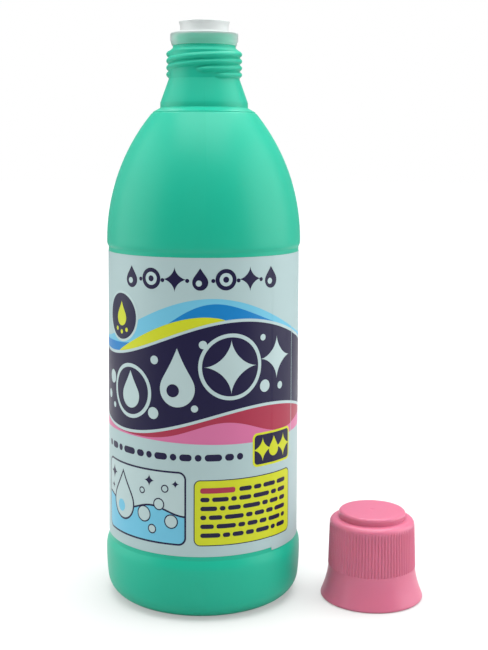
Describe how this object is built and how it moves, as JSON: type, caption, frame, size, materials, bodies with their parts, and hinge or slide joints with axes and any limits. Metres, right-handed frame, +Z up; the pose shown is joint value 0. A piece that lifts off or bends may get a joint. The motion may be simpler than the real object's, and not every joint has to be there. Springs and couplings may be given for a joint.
{
  "type": "bleach bottle",
  "caption": "Round blown plastic bottle with a recessed wrap-around label, a threaded neck with a pouring plug, and its ribbed flared screw cap standing beside it.",
  "frame": {"origin": "the bottle's axis at the plane it stands on, the centre of its standing ring", "axes": "+Z up along the bottle's axis, -Y towards the label's front, +X towards the cap"},
  "size_m": [0.1236, 0.076, 0.222],
  "materials": {
    "bottle": "satin blown polyethylene, green",
    "pouring_plug": "translucent natural polyethylene",
    "label": null,
    "cap": "semi-matte moulded polypropylene, pink"
  },
  "bodies": {
    "root": {"bottle": "bottle", "pouring_plug": "pouring_plug", "label": "label", "cap": "cap"}
  },
  "joints": []
}
